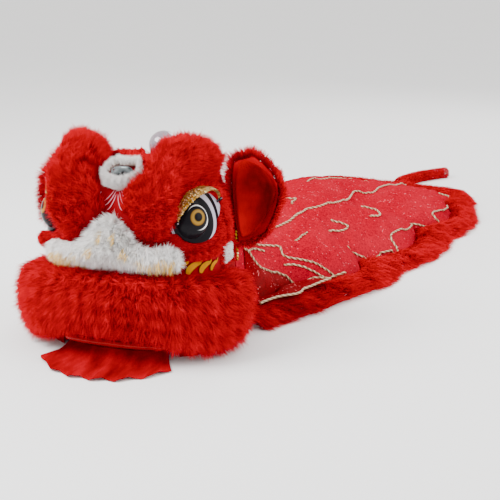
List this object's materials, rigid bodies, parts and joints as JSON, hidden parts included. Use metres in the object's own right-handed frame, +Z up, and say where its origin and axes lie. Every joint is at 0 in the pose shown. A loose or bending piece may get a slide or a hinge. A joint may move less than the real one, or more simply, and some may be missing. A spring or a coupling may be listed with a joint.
{
  "type": "lion dance costume",
  "caption": "Southern lion dance costume with a furred head, hinged jaw, eyelids and ears, and a scalloped sequined body cloth lying behind it.",
  "frame": {"origin": "on the floor, under the middle of the box round the whole costume", "axes": "+Y to the rear along the body, +Z up, +X to the lion's left"},
  "size_m": [1.3994, 3.1562, 0.6655],
  "materials": {
    "red_fur": "long bright red fur",
    "white_fur": "long white fur",
    "skin": "painted covering over a light frame",
    "satin": "dark red satin",
    "cloth": "red sequined cloth",
    "plush": "red plush",
    "gilt": "gilt sequins and gold paint",
    "eye_paint": "glossy black paint with white bands",
    "mirror": "polished",
    "clear": "clear thin plastic",
    "steel": "plain bar",
    "paint": "red paint",
    "gloss": "glossy red"
  },
  "bodies": {
    "head_and_body": {"ball_core": "gilt", "body_cloth_left": "cloth", "body_cloth_right": "cloth", "brow_fur_left": "red_fur", "brow_fur_right": "red_fur", "cap_fur": "red_fur", "cheek_fur_left": "red_fur", "cheek_fur_right": "red_fur", "clear_ball": "clear", "crown_fur": "red_fur", "ear_post_left": "paint", "ear_post_right": "paint", "eye_left": "eye_paint", "eye_right": "eye_paint", "forehead_fur": "white_fur", "forehead_mirror": "mirror", "head_shell": "skin", "hem_fur_left": "red_fur", "hem_fur_rear": "red_fur", "hem_fur_right": "red_fur", "jaw_axle": "steel", "nose_fur": "white_fur", "side_trim_left": "white_fur", "side_trim_right": "white_fur", "tail": "plush", "temple_fur_left": "red_fur", "temple_fur_right": "red_fur", "upper_lip_fur": "red_fur"},
    "jaw": {"jaw_board": "paint", "jaw_rim": "gloss", "tongue": "satin", "beard": "satin"},
    "lid_left": {"eyelid_left": "gilt"},
    "lid_right": {"eyelid_right": "gilt"},
    "ear_flap_left": {"ear_left": "satin", "ear_fur_left": "red_fur"},
    "ear_flap_right": {"ear_right": "satin", "ear_fur_right": "red_fur"}
  },
  "joints": [
    {"name": "jaw_hinge", "type": "hinge", "parent": "head_and_body", "child": "jaw", "pos_m": [-0.21552, -1.10809, 0.04], "axis": [1, 0, 0], "range_deg": [0, 30]},
    {"name": "lid_hinge_left", "type": "hinge", "parent": "head_and_body", "child": "lid_left", "pos_m": [0.01975, -1.25176, 0.44433], "axis": [0.3362, 0.9236, 0.1844], "range_deg": [0, 45], "stiffness_Nm_per_rad": 0.05},
    {"name": "lid_hinge_right", "type": "hinge", "parent": "head_and_body", "child": "lid_right", "pos_m": [-0.45078, -1.25176, 0.44433], "axis": [0.3362, -0.9236, -0.1844], "range_deg": [0, 45], "stiffness_Nm_per_rad": 0.05},
    {"name": "ear_hinge_left", "type": "hinge", "parent": "head_and_body", "child": "ear_flap_left", "pos_m": [0.0647, -1.08322, 0.32011], "axis": [0.9118, 0.2273, 0.342], "range_deg": [-12, 20], "stiffness_Nm_per_rad": 0.6},
    {"name": "ear_hinge_right", "type": "hinge", "parent": "head_and_body", "child": "ear_flap_right", "pos_m": [-0.49573, -1.08322, 0.32011], "axis": [0.9118, -0.2273, -0.342], "range_deg": [-12, 20], "stiffness_Nm_per_rad": 0.6}
  ]
}
